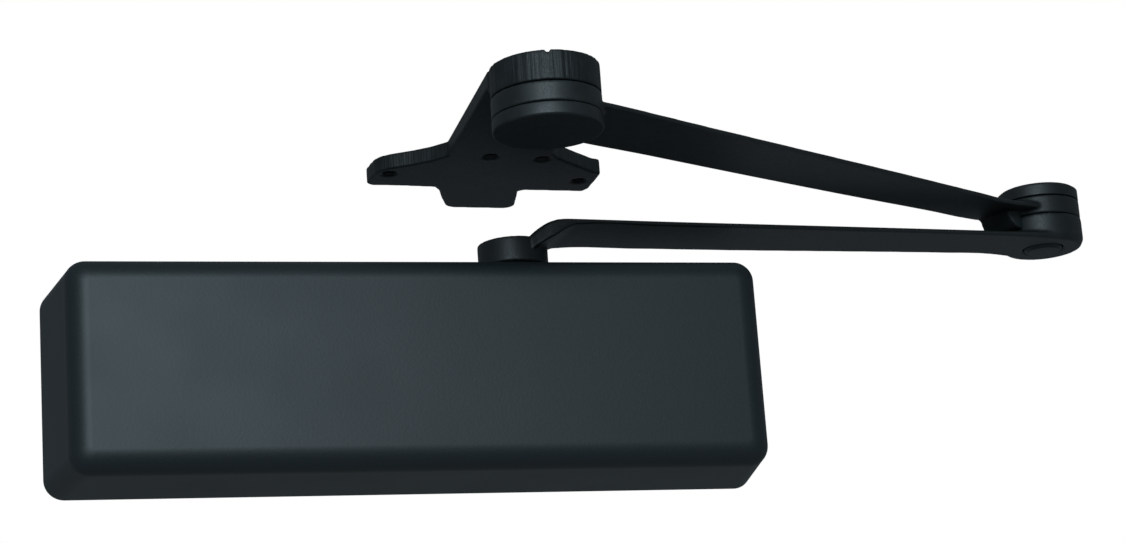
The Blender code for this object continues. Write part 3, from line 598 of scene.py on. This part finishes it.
main_low, main_eye_top = heights_of("main_arm")
UNDERSIDE = 63.1         # of the bar, above the cover's middle
BELOW_BAR, ABOVE_BAR = 60.0, 80.0            # reach of a cut through the bar
PIN_ROOM = 8.3
RIVET_ROOM_R, RIVET_SEAT = 9.3, 65.5
HUB_R, HUB_TOP = 15.3, 58.8
SCREW_ROOM_R, SCREW_SEAT, SCREW_ROOM_TOP = 10.0, 54.2, 75.0
SQUARE_ROOM, SQUARE_LOW, SQUARE_HIGH = 6.2, 40.0, 60.0
MAIN_EYE_R = 18.8
EYE_CHAMFER, EYE_CHAMFER_RISE = 1.5, 2.8
ROW_STEP = 3.0           # between the sections of a bar
main_rows = [            # x, underside, edge thickness, crown, near side, far side
    (0.0, 50.5, 6.2, 0.3, -11.0, 11.0), (3.0, 51.5, 6.4, 0.6, -14.0, 13.5),
    (6.5, 54.0, 6.8, 1.0, -16.8, 15.2), (11.0, 56.4, 7.2, 1.6, -19.6, 16.2),
    (15.0, 58.4, 6.3, 2.2, -21.0, 16.8), (18.5, 60.6, 4.3, 2.7, -21.4, 16.9),
    (23.0, 62.6, 2.3, 3.0, -21.4, 16.8), (28.0, UNDERSIDE, 1.8, 3.0, -21.4, 16.7),
    (60.0, UNDERSIDE, 1.7, 3.0, -21.3, 15.4),
    (110.0, UNDERSIDE, 1.7, 3.0, -21.3, 14.0), (160.0, UNDERSIDE, 1.7, 3.0, -21.3, 11.7),
    (210.0, UNDERSIDE, 1.7, 3.0, -21.1, 9.7), (main_length - 24.0, UNDERSIDE, 1.8, 3.2, -20.6, 9.6),
    (main_length - 12.0, UNDERSIDE, 2.2, 3.6, -19.6, 12.4), (main_length, UNDERSIDE, 3.0, 4.0, -17.8, 16.0),
]
main_arm = loft("main_arm_forging", [bar_section(*row) for row in smooth_rows(main_rows, ROW_STEP)])
combine(main_arm, [
    disc("hub", HUB_R, main_low, HUB_TOP),
    turned("eye", [
        (0.0, main_eye_top), (MAIN_EYE_R, main_eye_top), (MAIN_EYE_R, UNDERSIDE + EYE_CHAMFER_RISE),
        (MAIN_EYE_R - EYE_CHAMFER, UNDERSIDE), (0.0, UNDERSIDE),
    ], (main_length, 0.0)),
], "UNION")
square_room = block("square", (-SQUARE_ROOM, -SQUARE_ROOM, SQUARE_LOW),
                    (SQUARE_ROOM, SQUARE_ROOM, SQUARE_HIGH))
square_room.data.transform(Matrix.Rotation(-main_turn, 4, "Z"))
combine(main_arm, [
    square_room,
    disc("screw_room", SCREW_ROOM_R, SCREW_SEAT, SCREW_ROOM_TOP),
    disc("pin_hole", PIN_ROOM, BELOW_BAR, ABOVE_BAR, (main_length, 0.0)),
    disc("rivet_room", RIVET_ROOM_R, BELOW_BAR, RIVET_SEAT, (main_length, 0.0)),
], "DIFFERENCE")
melt(main_arm)
finish_piece(main_arm, forged_paint, "arm_paint", "pinion", "main_arm", turn=main_turn, pivot=pinion)

# %% [markdown]
# ## Forearm
# The forearm runs from the elbow to the shoe. Its bar is crowned like the main arm's and widens
# towards the shoe, where a thick eye is the middle ring of the pivot. A lug below the bar laps the
# main arm's eye, so that the arm can't fold past straight.

# %% Forearm
RUNNING_GAP = 0.3        # between pieces that turn on each other
FORE_UNDERSIDE = 76.4
fore_eye_low = main_eye_top + RUNNING_GAP
ABOVE_FOREARM = 95.0
BUSH_ROOM = 10.3
FORE_EYE_R, FORE_EYE_TOP = 18.6, 84.2
DRUM_R = 22.5            # of the three rings at the shoe; the middle one is set back a little
DRUM_SETBACK = 0.1
DRUM_EYE_LOW, DRUM_EYE_TOP = 75.0, 83.5
LUG_SIDE_ROOM, LUG_TOP_ROOM = 0.7, 0.1       # between the lug and the main arm's eye
fore_rows = [            # x, underside, edge thickness, crown, far side, near side
    (0.0, fore_eye_low + 2.4, 2.4, 3.4, -12.0, 11.5), (17.0, fore_eye_low + 2.0, 1.9, 3.9, -13.4, 12.6),
    (24.0, fore_eye_low + 1.4, 1.8, 3.2, -13.6, 13.0), (34.0, FORE_UNDERSIDE, 1.7, 3.1, -13.6, 13.3),
    (60.0, FORE_UNDERSIDE, 1.7, 3.0, -14.1, 14.0), (110.0, FORE_UNDERSIDE, 1.7, 3.0, -16.2, 15.8),
    (170.0, FORE_UNDERSIDE, 1.7, 3.0, -17.8, 17.3), (230.0, FORE_UNDERSIDE, 1.7, 3.0, -18.8, 18.8),
    (fore_length - 15.0, FORE_UNDERSIDE, 1.8, 3.2, -19.4, 20.2),
    (fore_length, FORE_UNDERSIDE, 2.2, 3.2, -17.5, 19.5),
]
forearm = loft("forearm_forging", [bar_section(*row) for row in smooth_rows(fore_rows, ROW_STEP)])
LUG_TOP = FORE_UNDERSIDE + 1.6
LUG_ROWS = [             # x, underside, far side, near side
    (14.0, 69.3, -16.5, 5.0), (21.0, 69.3, -15.0, 5.0), (23.0, 70.0, -14.2, 4.8),
    (25.6, 73.2, -13.2, 4.4), (28.5, FORE_UNDERSIDE + 0.9, -12.4, 4.0),
]
lug = loft("lug", [[(x, far, under), (x, near, under), (x, near, LUG_TOP), (x, far, LUG_TOP)]
                   for x, under, far, near in LUG_ROWS])
combine(forearm, [
    disc("elbow_eye", FORE_EYE_R, fore_eye_low, FORE_EYE_TOP),
    disc("drum_eye", DRUM_R - DRUM_SETBACK, DRUM_EYE_LOW, DRUM_EYE_TOP, (fore_length, 0.0)),
    lug,
], "UNION")
combine(forearm, [
    disc("lug_room", MAIN_EYE_R + LUG_SIDE_ROOM, BELOW_BAR, fore_eye_low - LUG_TOP_ROOM),
    disc("elbow_hole", BUSH_ROOM, BELOW_BAR, ABOVE_FOREARM),
    disc("drum_hole", BUSH_ROOM, BELOW_BAR, ABOVE_FOREARM, (fore_length, 0.0)),
], "DIFFERENCE")
melt(forearm)
finish_piece(forearm, forged_paint, "arm_paint", "forearm", "forearm", turn=fore_turn, pivot=elbow)

# %% [markdown]
# ## Soffit shoe
# The shoe is screwed under the frame's head. A thick disc holds the pivot, a strut carries it, and
# a plate with two wings and a tab takes the screws. The outline is drawn flat and given its
# thickness, then melted; the disc's side gets broad upright scratches and one nick in its top rim.

# %% Soffit shoe
bracket_low, bracket_high = heights_of("soffit_bracket")
PLATE_THICKNESS = 6.8
STRUT_HALF = 22.7
SHOE_TURN = math.radians(-1.0)
HOLE_R, SINK_R = 2.8, 4.6
SHOE_SKIN_MM = 0.6
SHOE_HOLES = ((-44.0, 115.0), (42.5, 124.0), (-4.0, 91.0), (19.5, 94.0))
BRACKET_OUTLINE = [
    (STRUT_HALF, 4.0), (STRUT_HALF, 87.0), (26.5, 93.0), (35.6, 101.8), (46.2, 111.5),
    *arc((46.0, 115.5), 4.2, -50.0, 0.0, 6), (49.6, 135.0), (47.6, 139.0),
    (20.5, 137.4), (18.2, 139.6), (19.3, 147.1), (20.6, 157.5),
    *arc((15.9, 159.2), 5.0, 0.0, 85.0, 8), *arc((-5.6, 157.0), 6.0, 98.0, 160.0, 8),
    (-14.8, 148.8), (-17.7, 138.7), (-20.8, 133.4), (-36.9, 131.6),
    *arc((-47.8, 127.2), 4.0, 95.0, 175.0, 8),
    (-51.3, 121.0), (-50.3, 114.5), (-48.3, 110.5), (-44.6, 107.3), (-35.6, 102.2), (-28.8, 97.2),
    (-STRUT_HALF, 90.5), (-STRUT_HALF, 4.0), (-19.0, -6.0), (19.0, -6.0),
]
plate_low = bracket_high - PLATE_THICKNESS
bracket = prism("soffit_shoe", BRACKET_OUTLINE, plate_low, bracket_high)
combine(bracket, [disc("boss", DRUM_R, bracket_low, bracket_high)], "UNION")
above = bracket_high + 2.0
sunk_hole = [
    (0.0, above), (HOLE_R, above), (HOLE_R, plate_low + 1.2), (SINK_R, plate_low - 0.6),
    (0.0, plate_low - 0.6),
]
PIN_ROOM_LOW, PIN_ROOM_TOP = 75.0, 92.0      # blind, so that the boss stays closed on top
pin_hole = disc("pin_hole", PIN_ROOM, PIN_ROOM_LOW, PIN_ROOM_TOP)
holes = [turned(f"sunk_hole_{i}", sunk_hole, centre, 48) for i, centre in enumerate(SHOE_HOLES)]
combine(bracket, [*holes, pin_hole], "DIFFERENCE")
melt(bracket, SHOE_SKIN_MM, 3)

# %% [markdown]
# The broad scratches are a sum of waves around the boss, each with its own count, depth and start.
# Random scratches could differ from run to run; waves with odd counts look as uneven and stay the
# same. The nick is a short dip in the top rim, where the shear left the blank.

# %% Scratches and nick
BROAD_SCRATCHES = (      # how many around the boss, depth, phase
    (9.0, 0.10, 0.3), (23.0, 0.10, 1.7), (41.0, 0.09, 4.1), (67.0, 0.06, 2.2),
)
NICK_ANGLE, NICK_HALF, NICK_DEPTH = math.radians(-99.0), math.radians(3.2), 1.6
co = np.empty(len(bracket.data.vertices) * 3)
bracket.data.vertices.foreach_get("co", co)
co = co.reshape(-1, 3) / MM
radius = np.hypot(co[:, 0], co[:, 1])
angle = np.arctan2(co[:, 1], co[:, 0])
side = np.clip((radius - DRUM_R + 1.0) / 0.8, 0.0, 1.0) * (radius < DRUM_R + 0.3) * (co[:, 1] < 8.0)
dent = sum(depth * (0.5 + 0.5 * np.sin(count * angle + phase)) ** 2
           for count, depth, phase in BROAD_SCRATCHES)
co[:, :2] *= (1.0 - side * dent / np.maximum(radius, 1.0))[:, None]
nick = np.clip(1.0 - np.abs(angle - NICK_ANGLE) / NICK_HALF, 0.0, 1.0) * (radius > DRUM_R - 3.0)
co[:, 2] -= nick * NICK_DEPTH * np.clip((co[:, 2] - plate_low) / PLATE_THICKNESS, 0.0, 1.0)
bracket.data.vertices.foreach_set("co", (co * MM).ravel())
finish_piece(bracket, sheared_paint, "arm_paint", "shoe", "soffit_bracket", turn=SHOE_TURN, pivot=shoe)

# %% [markdown]
# ## Pins
# The two pins are turned and painted with the arms. Each has a wide flange that closes its joint,
# and the elbow's is riveted over in a recess under the main arm. A spun profile with small rounds
# at each corner is all that turned work needs.

# %% Pins
def soft_profile(points, radius=0.5, steps=4):
    """Round every corner of a profile except its two ends."""
    soft = [points[0]]
    for before, corner, after in zip(points, points[1:], points[2:]):
        before, corner, after = Vector(before), Vector(corner), Vector(after)
        reach = min(radius, (before - corner).length * 0.45, (after - corner).length * 0.45)
        one = corner + (before - corner).normalized() * reach
        two = corner + (after - corner).normalized() * reach
        for i in range(steps + 1):
            t = i / steps
            soft.append(tuple(one * (1 - t) ** 2 + corner * 2 * t * (1 - t) + two * t * t))
    return soft + [points[-1]]


PIN_R = 8.0
RIVET_R = PIN_R + 0.8
elbow_low, elbow_high = heights_of("elbow_pin")
FLANGE_R = 18.6
flange_low = FORE_EYE_TOP + RUNNING_GAP
elbow_pin = turned("elbow_rivet_pin", soft_profile([
    (0.0, elbow_high), (FLANGE_R - 1.6, elbow_high), (FLANGE_R, elbow_high - 1.2), (FLANGE_R, flange_low),
    (PIN_R, flange_low), (PIN_R, RIVET_SEAT - 0.3), (RIVET_R, RIVET_SEAT - 0.5), (RIVET_R, UNDERSIDE + 0.2),
    (PIN_R - 0.6, elbow_low), (0.0, elbow_low)], 0.3), elbow)
shoe_low, shoe_high = heights_of("shoe_pin")
pin_step = DRUM_EYE_LOW - RUNNING_GAP
shoe_pin = turned("shoe_flange_pin", soft_profile([
    (0.0, shoe_high), (PIN_R - 0.8, shoe_high), (PIN_R, shoe_high - 0.8), (PIN_R, pin_step),
    (DRUM_R, pin_step), (DRUM_R, shoe_low + 0.6), (DRUM_R - 0.6, shoe_low), (0.0, shoe_low)]), shoe)
for pin in (elbow_pin, shoe_pin):
    pin.data.shade_smooth()
    pin.data.set_sharp_from_angle(angle=math.radians(50.0))
bodies = frame["record"]["behaviour"]["bodies"]
BODY_OF = {node: body for body, nodes in bodies.items() for node in nodes}
finish_piece(elbow_pin, forged_paint, "arm_paint", BODY_OF["elbow_pin"], "elbow_pin")
finish_piece(shoe_pin, forged_paint, "arm_paint", BODY_OF["shoe_pin"], "shoe_pin")

# %% [markdown]
# ## Screws
# The arm is held on the pinion's square by a socket screw and a washer, and two small domed screws
# hold the cover. They are plated, and sit where only a view from above finds them.

# %% Screws
WASHER_HOLE_R, WASHER_R = 3.5, 9.3
ARM_HEAD_R, ARM_HEAD_HEIGHT, ARM_SHANK_R = 7.0, 4.6, 3.0
SOCKET_R, SOCKET_DEPTH = 3.0, 3.0
COVER_HEAD_R, COVER_HEAD_HEIGHT, COVER_SHANK_R = 3.4, 1.9, 1.4
CROSS_REACH, CROSS_HALF, CROSS_DEPTH, CROSS_TURN = 2.4, 0.35, 0.9, 25.0

low, high = heights_of("arm_washer")
washer = turned("plated_washer", soft_profile([
    (WASHER_HOLE_R, high), (WASHER_R, high), (WASHER_R, low), (WASHER_HOLE_R, low)], 0.3), pinion)
low, high = heights_of("arm_screw")
arm_screw = turned("plated_arm_screw", soft_profile([
    (0.0, high), (ARM_HEAD_R - 0.6, high), (ARM_HEAD_R, high - 0.6), (ARM_HEAD_R, high - ARM_HEAD_HEIGHT),
    (ARM_SHANK_R, high - ARM_HEAD_HEIGHT), (ARM_SHANK_R, low), (0.0, low)], 0.3), pinion)
six_corners = arc(pinion, SOCKET_R, 0.0, 300.0, 5)
socket = prism("socket", six_corners, high - SOCKET_DEPTH, high + 2.0)
combine(arm_screw, [socket], "DIFFERENCE")
screws = [(washer, "arm_washer"), (arm_screw, "arm_screw")]
for label, place in screw_places.items():
    low, high = heights_of(f"cover_screw_{label}")
    head = turned(f"plated_cover_screw_{label}", soft_profile([
        (0.0, high), (2.2, high), (COVER_HEAD_R, high - 0.8), (COVER_HEAD_R, high - COVER_HEAD_HEIGHT),
        (COVER_SHANK_R, high - COVER_HEAD_HEIGHT), (COVER_SHANK_R, low), (0.0, low)], 0.25), place, 64)
    slots = [block(f"slot_{i}", (-CROSS_REACH, -CROSS_HALF, high - CROSS_DEPTH),
                   (CROSS_REACH, CROSS_HALF, high + 1.0)) for i in range(2)]
    for i, cutter in enumerate(slots):
        cutter.data.transform(Matrix.Translation((place.x * MM, place.y * MM, 0.0))
                              @ Matrix.Rotation(math.radians(CROSS_TURN + 90.0 * i), 4, "Z"))
    combine(head, slots, "DIFFERENCE")
    screws.append((head, f"cover_screw_{label}"))
for screw, node in screws:
    screw.data.shade_smooth()
    screw.data.set_sharp_from_angle(angle=math.radians(35.0))
    finish_piece(screw, zinc_plate, "zinc_steel", BODY_OF[node], node)
